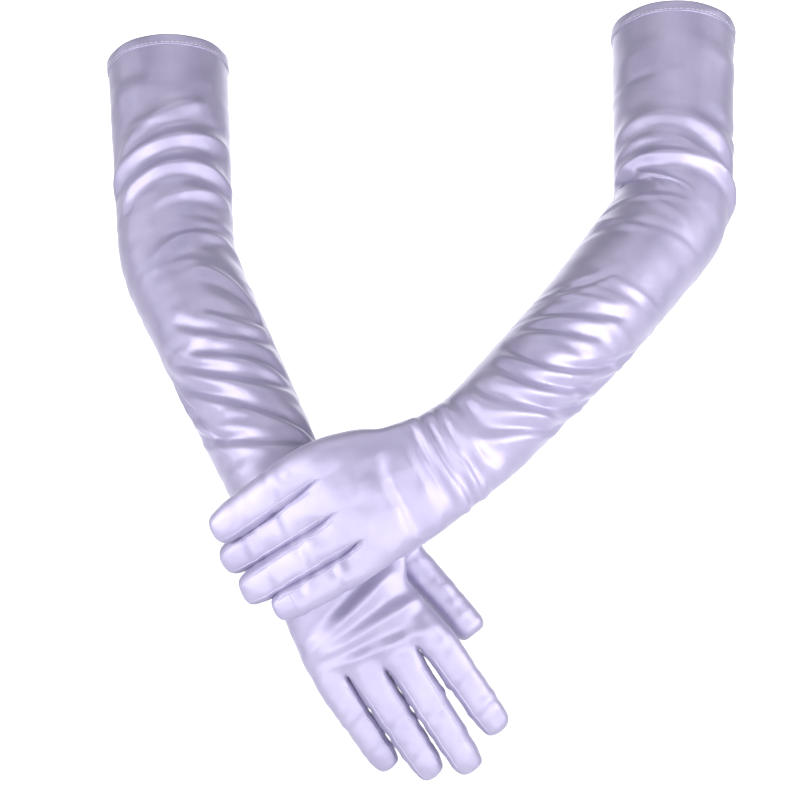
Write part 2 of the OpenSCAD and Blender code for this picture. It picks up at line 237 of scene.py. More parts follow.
class Glove:
    """The places of one glove, read from the frame, and what the maker chose for it."""

    ELBOW_ZONE = 18 * MM
    WRIST_BEFORE = 18 * MM
    WRIST_AFTER = 11 * MM
    HEM_R = 38 * MM
    ELBOW_R = 35.5 * MM
    WRIST_R = 27 * MM

    def __init__(
        self, side, bow, finger_width, fork_reach, finger_curl, tip_drift, thumb_edge, thumb_path
    ):
        self.side = side
        self.bow = bow  # how far the forearm's middle stands off its straight line, in metres
        self.finger_width = finger_width  # breadth over height, at a finger's root and at its tip
        self.fork_reach = fork_reach  # mm from the hinges to each fork between two fingers
        self.finger_curl = finger_curl  # share of its length by which each tip dips
        self.tip_drift = tip_drift  # mm that each tip drifts, in the frame
        self.thumb_edge = thumb_edge  # mm by which the palm is slimmer on the thumb's side
        self.thumb_path = thumb_path
        mount = mounts[f"{side}_arm_opening"]
        self.hem = np.array(mount["pos_m"], float)
        self.elbow = self.joint_place("elbow_bend")
        self.wrist = self.joint_place("wrist_bend")
        self.thumb_side = np.array(joints[f"{side}_wrist_bend"]["axis"], float)
        self.read_fingers()
        self.make_centre_line()

    def joint_place(self, name):
        return np.array(joints[f"{self.side}_{name}"]["pos_m"], float)

    def node_points(self, node):
        vertices = frame["nodes"][f"{self.side}_{node}"].data.vertices
        return np.array([v.co for v in vertices], float)

    def reach(self, hinge, node):
        """The direction from a hinge to a CAD node's tip, and how far the node reaches along it."""
        points = self.node_points(node)
        far = np.argsort(np.linalg.norm(points - hinge, axis=1))[-TIP_POINTS:]
        axis = unit(points[far].mean(0) - hinge)
        return axis, ((points - hinge) @ axis).max()

    def read_fingers(self):
        """Each finger's hinge, direction and length, from its joint and its CAD node."""
        verb = "curl" if self.side == "right" else "straighten"
        self.hinge, self.axis, self.length = [], [], []
        for finger in FINGERS:
            hinge = self.joint_place(f"{finger}_{verb}")
            axis, length = self.reach(hinge, f"{finger}_finger")
            self.hinge.append(hinge)
            self.axis.append(axis)
            self.length.append(length)
        along = np.mean(self.hinge, axis=0) - self.wrist
        self.forward = across(along, self.thumb_side)
        self.back = unit(np.cross(self.forward, self.thumb_side))
        if self.back[1] > 0:
            self.back = -self.back
        thumb_verb = "fold" if self.side == "right" else "open"
        self.thumb_hinge = self.joint_place(f"thumb_{thumb_verb}")
        self.thumb_axis, self.thumb_length = self.reach(self.thumb_hinge, "thumb")

    def in_hand(self, x, y, z):
        """A point of the hand, x along it from the wrist, y to the thumb's side, z out of its back."""
        x, y, z = (np.asarray(v, float)[..., None] for v in (x, y, z))
        return self.wrist + x * self.forward + y * self.thumb_side + z * self.back

    def hand_place(self, points):
        """The hand's own x, y and z of some points."""
        from_wrist = points - self.wrist
        return from_wrist @ self.forward, from_wrist @ self.thumb_side, from_wrist @ self.back

    def make_centre_line(self):
        """A smooth line through the arm from the hem past the wrist, a point every millimetre."""
        stops = [self.hem, self.elbow, self.wrist, self.wrist + 40 * MM * self.forward]
        pieces = []
        for a, b in zip(stops, stops[1:]):
            count = int(round(np.linalg.norm(b - a) / MM))
            pieces.append(a + np.arange(count)[:, None] / count * (b - a))
        line = smooth_rows(np.vstack(pieces), 8)
        start = np.linalg.norm(self.elbow - self.hem)
        length = np.linalg.norm(self.wrist - self.elbow)
        position = np.arange(len(line)) * MM
        share = np.clip((position - start) / length, 0, 1)
        line = line + (np.sin(np.pi * share) ** 2)[:, None] * np.array(self.bow)
        steps = np.linalg.norm(np.diff(line, axis=0), axis=1)
        self.line = line
        self.line_s = np.concatenate([[0], np.cumsum(steps)])
        self.tangent = unit(np.gradient(line, axis=0))
        self.elbow_s = self.line_s[np.linalg.norm(line - self.elbow, axis=1).argmin()]
        self.wrist_s = self.line_s[np.linalg.norm(line - self.wrist, axis=1).argmin()]
        self.front = across(np.array([0, -1.0, 0]), self.tangent)
        self.right = np.cross(self.front, self.tangent)
        self.right *= np.sign(self.right[:, :1])

    def elbow_span(self):
        """Where the elbow's piece starts and ends bending."""
        ends = self.elbow_s + np.array([-1, 1]) * (self.ELBOW_ZONE - 1 * MM)
        return [tuple(self.at(self.line, s)) for s in ends]

    def wrist_span(self):
        """Where the wrist's piece starts and ends bending."""
        start = self.at(self.line, self.wrist_s - self.WRIST_BEFORE + 1 * MM)
        return tuple(start), tuple(self.in_hand(9 * MM, 0, 0))

    def finger_span(self, finger):
        """Where a finger's pieces start and end following the finger."""
        hinge, axis = self.hinge[finger], self.axis[finger]
        start = (max(self.fork_reach) + 4) * MM
        return tuple(hinge + start * axis), tuple(hinge + (start + 9 * MM) * axis)

    def finger_centre(self, finger, d):
        """The middle of a finger at distance d from its hinge, with the way it curls and drifts."""
        top = across(self.back, self.axis[finger])
        share = max(0, d / self.length[finger] - 0.15)
        curl = self.finger_curl[finger] * self.length[finger] * top
        drift = np.array(self.tip_drift[finger]) * MM
        return self.hinge[finger] + d * self.axis[finger] + share**2 * (drift / 0.72 - curl)

    def thumb_span(self):
        """Where the thumb's piece starts and ends following its tip."""
        hinge, axis = self.thumb_hinge, self.thumb_axis
        return tuple(hinge + 2 * MM * axis), tuple(hinge + 10 * MM * axis)

    def sleeve_radius(self, s):
        stops = [0, self.elbow_s, self.wrist_s]
        return np.interp(s, stops, [self.HEM_R, self.ELBOW_R, self.WRIST_R])

    def sleeve_zones(self):
        """Each sleeve piece's name, start and end, as distances from the hem."""
        zone, wrist = self.ELBOW_ZONE, self.wrist_s - self.WRIST_BEFORE
        ends = [0.0, self.elbow_s - zone, self.elbow_s + zone, wrist, self.wrist_s]
        names = ("upper_sleeve", "elbow_sleeve", "forearm_sleeve", "wrist_sleeve")
        return list(zip(names, ends, ends[1:]))

    def at(self, rows, s):
        """The centre line's rows, such as its tangents, at distance s from the hem."""
        return interpolated(s, self.line_s, rows)

    def spoke(self, s, turn):
        """The way out of the sleeve at s from the hem, turned in radians from the front towards +X."""
        return np.cos(turn) * self.at(self.front, s) + np.sin(turn) * self.at(self.right, s)

    def sleeve_place(self, points):
        """Distance from the hem, and angle in degrees from the front towards +X, of some points."""
        nearest = np.empty(len(points), int)
        for first in range(0, len(points), 4000):
            part = points[first : first + 4000]
            gap = np.linalg.norm(part[:, None] - self.line[None], axis=2)
            nearest[first : first + 4000] = gap.argmin(1)
        offset = points - self.line[nearest]
        along = (offset * self.tangent[nearest]).sum(1)
        ahead = (offset * self.front[nearest]).sum(1)
        aside = (offset * self.right[nearest]).sum(1)
        return self.line_s[nearest] + along, np.degrees(np.arctan2(aside, ahead))


# ---------------------------------------------------------------- the cage of a glove


class Cage:
    """Points and four-sided faces, with the name of the part that each face belongs to."""

    def __init__(self):
        self.points = []
        self.faces = []
        self.parts = []

    def ring(self, points):
        """Adds points and returns their numbers."""
        first = len(self.points)
        self.points.extend(np.asarray(points, float))
        return list(range(first, len(self.points)))

    def face(self, corners, part):
        self.faces.append(tuple(corners))
        self.parts.append(part)

    def join(self, near, far, part, skipped=()):
        """Faces between two closed rings. part is a name, or a function that names each column's."""
        count = len(near)
        for k in range(count):
            n = (k + 1) % count
            if k not in skipped:
                self.face((near[k], near[n], far[n], far[k]), part(k) if callable(part) else part)


PALM_STATIONS = (11, 22, 36, 50, 62)  # mm from the wrist
THUMB_FIRST, THUMB_LAST = 1, 3  # the palm stations where the thumb leaves the hand


def ring_angles():
    """Angles of the cage's columns, from the thumb's side over the back of the hand."""
    return np.radians(90 - np.arange(COLUMNS) * 360 / COLUMNS)


def rounded(angle, width, thick, power=2.5):
    """A rounded oblong across the hand: y towards the thumb, z out of its back."""
    s, c = np.sin(angle), np.cos(angle)
    y = np.sign(s) * np.abs(s) ** (2 / power) * width / 2
    z = np.sign(c) * np.abs(c) ** (2 / power) * thick / 2
    return y, z


def palm_outline(glove, x):
    """The palm's cage points at x mm from the wrist."""
    share = np.clip((x - 4) / 58, 0, 1)
    width = np.interp(x, [0, 14, 38, 62], [55, 58.5, 69, 75]) * 1.01
    thick = np.interp(x, [0, 14, 38, 62], [37, 32.5, 29, 26.5]) * 1.02
    y_round, z_round = rounded(ring_angles(), width, thick)
    y_even = np.linspace(0.5, -0.5, 9) * 0.93 * width
    y_flat = np.concatenate([[width / 2], y_even, [-width / 2], y_even[::-1]])
    edge = np.clip(np.abs(y_flat) / (width / 2), 0, 1)
    z_flat = (1 - edge**2.6) ** (1 / 2.6) * thick / 2
    z_flat[11:] *= -1
    z_flat[[0, 10]] = 0
    y = y_round + (y_flat - y_round) * share
    z = z_round + (z_flat - z_round) * share
    drop = -1.5 * share
    near_thumb = ramp(x, -5, 25) * (1 - ramp(x, 48, 70))
    slim = glove.thumb_edge * np.clip(y / (width / 2), 0, 1) * near_thumb
    return glove.in_hand(np.full(COLUMNS, x) * MM, (y - slim) * MM, (z + drop) * MM)


def knuckle_outline(glove):
    """The cage points at the fingers' roots: 20 around, and a web point between each two fingers."""
    places = [glove.hand_place(hinge[None]) for hinge in glove.hinge]
    hx, hy, hz = (np.array([p[k][0] for p in places]) / MM for k in range(3))
    radius = np.array([9.4, 9.4, 9.2, 8.6])
    columns = []
    for i in range(4):
        columns.append((hx[i] - 3, hy[i], hz[i], radius[i] + 1.2))
        if i < 3:
            middle = (hy[i] + hy[i + 1]) / 2
            fork = (hx[i] + hx[i + 1]) / 2 + glove.fork_reach[i]
            columns.append((fork, middle, (hz[i] + hz[i + 1]) / 2, 7.0))
    first = (hx[0] - 2, hy[0] + radius[0] * 0.78, hz[0], 7.2)
    last = (hx[3] - 2, hy[3] - radius[3] * 0.78, hz[3], 6.6)
    columns = [first, *columns, last]
    top = [glove.in_hand(x * MM, y * MM, (z + t) * MM) for x, y, z, t in columns]
    low = [glove.in_hand(x * MM, y * MM, (z - t) * MM) for x, y, z, t in columns]
    thumb_edge = glove.in_hand((hx[0] - 2) * MM, (hy[0] + radius[0] * 1.12) * MM, hz[0] * MM)
    little_edge = glove.in_hand((hx[3] - 2) * MM, (hy[3] - radius[3] * 1.12) * MM, hz[3] * MM)
    ring = [thumb_edge, *top, little_edge, *low[::-1]]
    webs = []
    for k in (2, 4, 6):
        x, y, z, _ = columns[k]
        webs.append(glove.in_hand((x + 2) * MM, y * MM, z * MM))
    return ring, webs


def finger_part(finger, column):
    """The part that a finger's column of faces belongs to, among eight from its top edge."""
    toward_thumb = column in (6, 7)
    toward_little = column in (2, 3)
    if toward_thumb and finger > 0:
        return f"fourchette_{finger}_{FINGERS[finger]}"
    if toward_little and finger < 3:
        return f"fourchette_{finger + 1}_{FINGERS[finger]}"
    return f"{FINGERS[finger]}_finger"


def add_finger(cage, glove, finger, root):
    """A finger's rings from its root ring of eight to a blunt tip."""
    axis, length = glove.axis[finger], glove.length[finger]
    side = across(glove.thumb_side, axis)
    top = across(glove.back, axis)
    angles = np.radians(45 + 45 * np.arange(8))
    radius = [9.0, 9.0, 8.8, 8.0][finger] * MM
    stations = (np.array([8, 16, 25, 35, 46]) + max(0, max(glove.fork_reach) - 1)) * MM
    stations = np.concatenate([stations, length - np.array([12, 5, 0.6]) * MM])
    stations = stations[(stations < length - 14 * MM) | (stations > length - 13 * MM)]
    near = root
    for d in stations:
        share = d / length
        r = radius * (1.10 - 0.10 * share)
        if d > length - 7 * MM:
            r *= 0.93 if d < length - 2 * MM else 0.66
        centre = glove.finger_centre(finger, d)
        wide = glove.finger_width[0] + share * (glove.finger_width[1] - glove.finger_width[0])
        square = np.where(np.arange(8) % 2 == 0, 1.12, 1.0)[:, None]
        offsets = np.cos(angles)[:, None] * side * wide + np.sin(angles)[:, None] * top * 0.94
        far = cage.ring(centre + r * square * offsets)
        cage.join(near, far, lambda k: finger_part(finger, k))
        near = far
    close_tip(cage, near, f"{FINGERS[finger]}_finger")


def add_thumb(cage, glove, root):
    """The thumb's rings: root is the hole in the palm's edge, from its front top corner."""
    spread = [(-1, 1), (-1, 0), (-1, -1), (0, -1), (1, -1), (1, 0), (1, 1), (0, 1)]
    near = root
    stops = [(*stop, "thumb_gusset") for stop in glove.thumb_path]
    hinge = np.array(glove.hand_place(glove.thumb_hinge[None])).ravel() / MM
    axis = np.array([glove.thumb_axis @ v for v in (glove.forward, glove.thumb_side, glove.back)])
    length = glove.thumb_length / MM
    for d in (1, 9, 18, 28, 38, length - 12, length - 5, length - 0.8):
        r = 10.6 * (1 - 0.08 * d / length) * (0.70 if d > length - 2 else 1)
        stops.append((hinge + d * axis, axis, r, r, "thumb" if d > 2 else "thumb_gusset"))
    outward = np.array([-1.0, 0, 0])
    for centre, direction, along, tall, part in stops:
        direction = unit(direction)
        outward = across(outward, direction)
        up = np.cross(direction, outward)
        points = []
        for u, v in spread:
            scale = 0.78 if u and v else 1.0
            points.append(np.array(centre) + scale * (u * along * outward + v * tall * up))
        points = np.array(points) * MM
        far = cage.ring(glove.in_hand(points[:, 0], points[:, 1], points[:, 2]))
        cage.join(near, far, part)
        near = far
    close_tip(cage, near, "thumb")


def close_tip(cage, ring, part):
    """Three faces that close a ring of eight."""
    cage.face((ring[0], ring[1], ring[2], ring[3]), part)
    cage.face((ring[0], ring[3], ring[4], ring[7]), part)
    cage.face((ring[4], ring[5], ring[6], ring[7]), part)


def sleeve_stops(glove):
    """Where the sleeve's rings lie, as (distance from the hem, part up to the next ring)."""
    stops = []
    for part, low, high in glove.sleeve_zones():
        count = max(2, int(round((high - low) / (10.5 * MM))))
        stops.extend((s, part) for s in np.linspace(low, high, count, endpoint=False))
    return stops


def build_cage(glove):
    """The whole glove's cage, from its hem to its fingertips."""
    cage = Cage()
    angles = ring_angles()
    side = glove.thumb_side
    sleeve = []
    stops = sleeve_stops(glove)
    for s, part in reversed(stops):  # the columns are carried up the arm without twisting
        tangent = unit(glove.at(glove.tangent, s))
        side = across(side, tangent)
        out = unit(np.cross(tangent, side))
        if out @ glove.at(glove.front, s) < 0:
            out = -out
        r = glove.sleeve_radius(s) * 1.014
        flat = ramp(s, glove.wrist_s - 30 * MM, glove.wrist_s)
        wide, tall = 1 + 0.03 * flat, 1 - 0.20 * flat
        offsets = r * (np.sin(angles)[:, None] * side * wide + np.cos(angles)[:, None] * out * tall)
        sleeve.append((glove.at(glove.line, s) + offsets, part))
    near, near_part = None, None
    for points, part in reversed(sleeve):
        far = cage.ring(points)
        if near is not None:
            cage.join(near, far, near_part)
        near, near_part = far, part
    rings = []
    for x in PALM_STATIONS:
        far = cage.ring(palm_outline(glove, x))
        part = "wrist_sleeve" if x < 15 else "palm_and_back"
        thumb_here = len(rings) in (THUMB_FIRST + 1, THUMB_LAST)  # left open for the thumb
        cage.join(near, far, part, (0, COLUMNS - 1) if thumb_here else ())
        rings.append(far)
        near = far
    outline, web_points = knuckle_outline(glove)
    root = cage.ring(outline)
    webs = cage.ring(web_points)
    cage.join(near, root, "knuckles")
    for finger in range(4):
        first = 1 + 2 * finger
        top = [root[first], root[first + 1], root[first + 2]]
        low = [root[20 - first - 2], root[20 - first - 1], root[20 - first]]
        inner = root[0] if finger == 0 else webs[finger - 1]
        outer = root[10] if finger == 3 else webs[finger]
        add_finger(cage, glove, finger, [*top, outer, *low, inner])
    a, b, c = (rings[k] for k in (THUMB_FIRST, THUMB_FIRST + 1, THUMB_LAST))
    add_thumb(cage, glove, [c[1], c[0], c[19], b[19], a[19], a[0], a[1], b[1]])
    return cage


# ---------------------------------------------------------------- folds in the cloth


def crest(gap):
    """A fold's shape across it: a narrow crest between two shallow hollows, the lower one deeper."""
    ridge = np.exp(-(np.abs(gap) ** 1.4))
    return 1.45 * ridge - 0.75 * bump(gap - 1.7, 1.05) - 0.45 * bump(gap + 1.9, 1.2)


class Fold:
    """A ridge, or with a negative height a valley, that runs part of the way round a sleeve.

    It goes from angle first to angle last, in degrees from the front towards +X, and lies at
    distances start, middle and end from the hem, in millimetres. Height and width are in millimetres.
    """

    def __init__(self, first, last, start, middle, end, height, width):
        self.first, self.last = first, last
        self.curve = np.polyfit([first, (first + last) / 2, last], [start, middle, end], 2)
        self.height, self.width = height, width

    def lift(self, s, angle):
        taper = ramp(angle, self.first - 14, self.first + 16)
        taper = taper * (1 - ramp(angle, self.last - 16, self.last + 14))
        gap = (s - np.polyval(self.curve, np.clip(angle, self.first - 20, self.last + 20))) / self.width
        return self.height * taper * crest(gap)


RIGHT_FOLDS = (
    Fold(-70, 60, 38, 33, 30, 0.7, 8),
    Fold(-60, 44, 81, 56, 45, 1.5, 6),
    Fold(-74, 76, 91, 71, 70, 1.9, 4.5),
    Fold(-50, 82, 105, 87, 98, 1.9, 4.5),
    Fold(-10, 76, 112, 105, 107, 1.3, 4),
    Fold(-10, 88, 153, 148, 157, 1.4, 5.5),
    Fold(18, 76, 174, 185, 212, 1.6, 5.5),
    Fold(15, 82, 204, 214, 214, -1.2, 4.5),
    Fold(-20, 78, 204, 225, 230, -1.6, 4.5),
    Fold(-26, 80, 223, 240, 256, -1.7, 4.5),
    Fold(-48, 80, 219, 253, 263, -1.9, 5),
    Fold(-60, 88, 231, 274, 300, -1.9, 5),
    Fold(-84, -38, 216, 250, 280, -2.0, 6),
    Fold(-78, 88, 263, 297, 306, -1.7, 4),
    Fold(120, 235, 120, 132, 120, -1.6, 6),
    Fold(110, 240, 142, 150, 140, -1.4, 6),
    Fold(130, 230, 96, 104, 92, 1.2, 7),
    Fold(100, 200, 240, 262, 255, -1.4, 6),
)

LEFT_FOLDS = (
    Fold(-70, 70, 34, 30, 36, 0.6, 9),
    Fold(-80, 66, 83, 76, 95, 1.4, 5.5),
    Fold(-82, 48, 95, 90, 108, 1.4, 4),
    Fold(-76, 88, 105, 102, 119, 2.5, 4.5),
    Fold(-76, -4, 106, 111, 127, 1.1, 3.6),
    Fold(-88, -38, 108, 120, 137, 1.2, 4.5),
    Fold(-84, -28, 175, 176, 176, 0.9, 4.5),
    Fold(-52, -18, 243, 232, 218, -0.9, 4),
    Fold(-52, 22, 263, 249, 232, -1.4, 4.5),
    Fold(-52, 18, 275, 266, 253, -1.4, 4),
    Fold(-60, 82, 293, 283, 222, -1.7, 4.5),
    Fold(-48, 82, 307, 296, 245, -1.7, 4.5),
    Fold(-52, 86, 325, 314, 266, -1.7, 4.5),
    Fold(-60, 84, 340, 333, 292, -1.8, 4.5),
    Fold(-80, 78, 350, 351, 340, 1.5, 2.9),
    Fold(-78, 84, 359, 360, 352, 1.4, 2.8),
    Fold(-78, 86, 368, 369, 362, 1.4, 2.7),
    Fold(120, 240, 112, 122, 112, -1.5, 6),
    Fold(130, 230, 138, 144, 134, -1.3, 6),
    Fold(120, 220, 230, 250, 262, -1.4, 6),
)


class Crease:
    """A ridge or valley on a hand, from one place (x, y) to another, in millimetres from the wrist."""

    def __init__(self, start, end, height, width, on_back=True):
        self.start, self.end = np.array(start, float), np.array(end, float)
        self.height, self.width = height, width
        self.on_back = on_back

    def lift(self, x, y, z):
        along = self.end - self.start
        length = np.linalg.norm(along)
        along = along / length
        dx, dy = x - self.start[0], y - self.start[1]
        t = (dx * along[0] + dy * along[1]) / length
        gap = (dx * -along[1] + dy * along[0]) / self.width
        taper = ramp(t, -0.1, 0.25) * (1 - ramp(t, 0.75, 1.1))
        facing = ramp(z if self.on_back else -z, -4, 4)
        return self.height * taper * facing * crest(gap)


RIGHT_CREASES = (
    Crease((57, -38), (40, 34), 1.5, 3.6),
    Crease((60, -32), (60, 40), 1.4, 3.4),
    Crease((50, -36), (30, 30), -1.0, 5),
    Crease((66, -30), (78, 34), 1.2, 2.8),
    Crease((18, -26), (10, 28), -0.9, 5),
    Crease((88, -14), (76, -18), -0.8, 3),
    Crease((92, 24), (84, 40), 0.8, 3.5),
    Crease((20, -30), (62, 10), 1.0, 6, on_back=False),
    Crease((66, -34), (64, 32), -0.8, 4, on_back=False),
)

LEFT_CREASES = (
    Crease((56, 10), (54, -36), -1.3, 4),
    Crease((44, 18), (40, -38), 0.9, 5),
    Crease((75, 8), (84, -24), 0.9, 3.2),
    Crease((31, 27), (27, -34), 1.3, 2.8),
    Crease((23, 27), (22, -32), 1.2, 2.6),
    Crease((15, 26), (17, -32), 1.2, 2.6),
    Crease((7, 25), (10, -30), 1.2, 2.6),
    Crease((20, -26), (56, 12), 1.0, 6, on_back=False),
    Crease((68, -30), (66, 30), -0.8, 4, on_back=False),
)


def scattered_folds(seed, low, high, count, lean):
    """Small folds between the main ones, low to high mm from the hem, slanting lean mm per degree."""
    random = np.random.default_rng(seed)
    folds = []
    for _ in range(count):
        middle_angle = random.uniform(-90, 250)
        reach = random.uniform(22, 55)
        s = random.uniform(low, high)
        slant = (lean + random.uniform(-0.12, 0.12)) * reach
        height = random.uniform(0.15, 0.5) * random.choice([-1, 1])
        ends = (s - slant, s + random.uniform(-2, 2), s + slant)
        width = random.uniform(2.2, 3.6)
        folds.append(Fold(middle_angle - reach, middle_angle + reach, *ends, height, width))
    return tuple(folds)


def hand_wrinkles(x, y, z, seed):
    """Gentle unevenness of the hand's cloth, between about -1 and 1."""
    random = np.random.default_rng(seed)
    total = np.zeros_like(x)
    for _ in range(12):
        wave = 2 * np.pi / random.uniform(16, 44)
        heading = random.normal(size=3) * (1, 0.55, 0.4)
        heading = wave * heading / np.linalg.norm(heading)
        swell = np.sin(heading[0] * x + heading[1] * y + heading[2] * z + random.uniform(0, 6.3))
        total += 1 - 1.6 * np.abs(swell)
    return total / 12 * 2.4


def fine_wrinkles(s, angle, seed):
    """Slight unevenness that runs mostly round the sleeve, between -1 and 1."""
    random = np.random.default_rng(seed)
    total = np.zeros_like(s)
    for _ in range(14):
        wave = 2 * np.pi / random.uniform(11, 42)
        turns = random.integers(-3, 4)
        phase = random.uniform(0, 2 * np.pi)
        total += np.sin(wave * s + turns * np.radians(angle) + phase)
    return total / 14 * 1.6


def knuckle_wrinkles(glove, points):
    """Small cross creases where each finger's joints would bend the cloth."""
    lift = np.zeros(len(points))
    for hinge, axis, length in zip(glove.hinge, glove.axis, glove.length):
        offset = points - hinge
        d = offset @ axis
        near = np.linalg.norm(offset - d[:, None] * axis, axis=1) < 13 * MM
        for share, height in ((0.40, 0.45), (0.46, -0.4), (0.72, 0.35), (0.77, -0.3)):
            tilt = 0.18 * (offset @ glove.thumb_side)
            fold = height * bump(d + tilt - share * length, 2.6 * MM)
            lift += np.where(near & (d > 4 * MM), fold, 0)
    return lift


def fold_cloth(glove, points, normals, folds, creases, seed):
    """The surface's points moved along its normals by its folds, creases and fine wrinkles."""
    s, angle = glove.sleeve_place(points)
    x, y, z = (v / MM for v in glove.hand_place(points))
    s_mm = s / MM
    lift = np.zeros(len(points))
    reach = glove.wrist_s / MM
    lean = 0.18 if glove.side == "right" else -0.2
    small = scattered_folds(seed + 20, 40, reach * 0.45, 22, -0.05)
    small += scattered_folds(seed + 40, reach * 0.45, reach - 25, 26, lean)
    for fold in (*folds, *small):
        turned = np.where(angle < fold.first - 30, angle + 360, angle)
        lift += fold.lift(s_mm, turned)
    on_palm = ramp(x, -4, 12) * (1 - ramp(x, 70, 84))
    for crease in creases:
        lift += on_palm * crease.lift(x, y, z)
    calmer_hand = 1 - 0.7 * ramp(x, -45, 0)
    lift += 0.32 * fine_wrinkles(s_mm, angle, seed) * calmer_hand
    lift += knuckle_wrinkles(glove, points)
    lift += 0.42 * ramp(x, 22, 45) * hand_wrinkles(x, y, z, seed)
    calm_hem = ramp(s_mm, 8, 26)
    return points + (lift * calm_hem * MM)[:, None] * normals


# ---------------------------------------------------------------- from cage to finished surface


def cage_mesh(cage, name):
    """A mesh of the cage, with the part's number as material index."""
    names = sorted(set(cage.parts))
    mesh = bpy.data.meshes.new(name)
    used = sorted({v for face in cage.faces for v in face})
    renumber = {v: k for k, v in enumerate(used)}
    faces = [tuple(renumber[v] for v in face) for face in cage.faces]
    mesh.from_pydata([cage.points[v] for v in used], [], faces)
    for _ in names:
        mesh.materials.append(None)
    mesh.polygons.foreach_set("material_index", [names.index(part) for part in cage.parts])
    return mesh, names


def subdivided(mesh):
    """The mesh subdivided, as arrays: points, four-sided faces, and each face's part number."""
    holder = bpy.data.objects.new("cage", mesh)
    bpy.context.scene.collection.objects.link(holder)
    modifier = holder.modifiers.new("smooth", "SUBSURF")
    modifier.levels = LEVELS
    modifier.render_levels = LEVELS
    modifier.subdivision_type = "CATMULL_CLARK"
    graph = bpy.context.evaluated_depsgraph_get()
    fine = holder.evaluated_get(graph).to_mesh()
    points = np.empty(len(fine.vertices) * 3)
    fine.vertices.foreach_get("co", points)
    corners = np.empty(len(fine.loops), int)
    fine.loops.foreach_get("vertex_index", corners)
    parts = np.empty(len(fine.polygons), int)
    fine.polygons.foreach_get("material_index", parts)
    holder.evaluated_get(graph).to_mesh_clear()
    bpy.data.objects.remove(holder)
    return points.reshape(-1, 3), corners.reshape(-1, 4), parts


def point_normals(points, faces):
    """Area-weighted normals at the points of a surface of four-sided faces."""
    a, b, c, d = (points[faces[:, k]] for k in range(4))
    face_normals = np.cross(c - a, d - b)
    normals = np.zeros_like(points)
    for k in range(4):
        np.add.at(normals, faces[:, k], face_normals)
    return unit(normals)


def face_sides(faces):
    """The sides of four-sided faces, as pairs of points in the direction in which the faces run."""
    return np.concatenate([faces[:, [k, (k + 1) % 4]] for k in range(4)])


def relaxed(points, faces, keep):
    """The points drawn a little towards their neighbours' mean, apart from those in keep."""
    sides = face_sides(faces)
    pairs = np.concatenate([sides, sides[:, ::-1]])
    count = np.bincount(pairs[:, 0], minlength=len(points))[:, None]
    total = np.zeros_like(points)
    np.add.at(total, pairs[:, 0], points[pairs[:, 1]])
    return np.where(keep[:, None], points, points + RELAX_SHARE * (total / count - points))


class Surface:
    """A glove's finished surface and its division into parts."""

    def __init__(self, glove, folds, creases, seed):
        self.glove = glove
        cage = build_cage(glove)
        mesh, self.names = cage_mesh(cage, f"{glove.side}_cage")
        points, faces, self.part = subdivided(mesh)
        normals = point_normals(points, faces)
        middle = glove.at(glove.line, np.array([0.5 * glove.elbow_s]))[0]
        nearest = np.linalg.norm(points - middle, axis=1).argmin()
        if normals[nearest] @ (points[nearest] - middle) < 0:
            faces = faces[:, ::-1]
            normals = -normals
        self.faces = faces
        edge = self.open_edge_points(faces, len(points))
        points = fold_cloth(glove, points, normals, folds, creases, seed)
        self.points = relaxed(points, faces, edge)
        self.normals = point_normals(self.points, faces)
        self.square_border(glove.elbow_span(), "upper_sleeve", "elbow_sleeve", "forearm_sleeve")
        self.square_border(glove.wrist_span(), "forearm_sleeve", "wrist_sleeve", "palm_and_back")

    def square_border(self, span, before, bending, after):
        """Divides three parts again, square to the line along which the middle one bends.

        A border then moves wholly with one body or the other.
        """
        start, end = np.array(span[0]), np.array(span[1])
        way = unit(end - start)
        along = (self.points[self.faces].mean(axis=1) - start) @ way
        numbers = [self.names.index(part) for part in (before, bending, after)]
        zone = np.digitize(along, [-BORDER_MARGIN, (end - start) @ way + BORDER_MARGIN])
        mine = np.isin(self.part, numbers)
        self.part[mine] = np.array(numbers)[zone[mine]]

    @staticmethod
    def open_edge_points(faces, count):
        edges, uses = edge_uses(faces)
        on_edge = np.zeros(count, bool)
        on_edge[edges[uses == 1].ravel()] = True
        return on_edge

    def faces_of(self, part):
        return self.faces[self.part == self.names.index(part)]


def edge_uses(faces):
    """The edges of four-sided faces, and how many faces use each."""
    return np.unique(np.sort(face_sides(faces), axis=1), axis=0, return_counts=True)


def add_object(name, points, faces, material, normals=None):
    """A smooth-shaded mesh object, with the given normals if there are any."""
    mesh = bpy.data.meshes.new(name)
    mesh.from_pydata([tuple(p) for p in points], [], [tuple(int(v) for v in f) for f in faces])
    mesh.polygons.foreach_set("use_smooth", [True] * len(mesh.polygons))
    mesh.materials.append(material)
    if normals is not None:
        mesh.normals_split_custom_set_from_vertices([tuple(n) for n in normals])
    thing = bpy.data.objects.new(name, mesh)
    bpy.context.scene.collection.objects.link(thing)
    return thing


def part_object(surface, part, material, lining=0.0):
    """One part of the surface as its own object, with an inside if lining, its thickness, is given."""
    faces = surface.faces_of(part)
    used, local = np.unique(faces.ravel(), return_inverse=True)
    faces = local.reshape(-1, 4)
    points, normals = surface.points[used], surface.normals[used]
    if lining:
        edges, uses = edge_uses(faces)
        count = len(points)
        rim = directed(edges[uses == 1], faces)
        band = np.column_stack([rim[:, 1], rim[:, 0], rim[:, 0] + count, rim[:, 1] + count])
        faces = np.concatenate([faces, faces[:, ::-1] + count, band])
        points = np.concatenate([points, points - lining * normals])
        normals = np.concatenate([normals, -normals])
    name = f"{surface.glove.side}_{part}_cloth"
    return add_object(name, points, faces, material, normals)


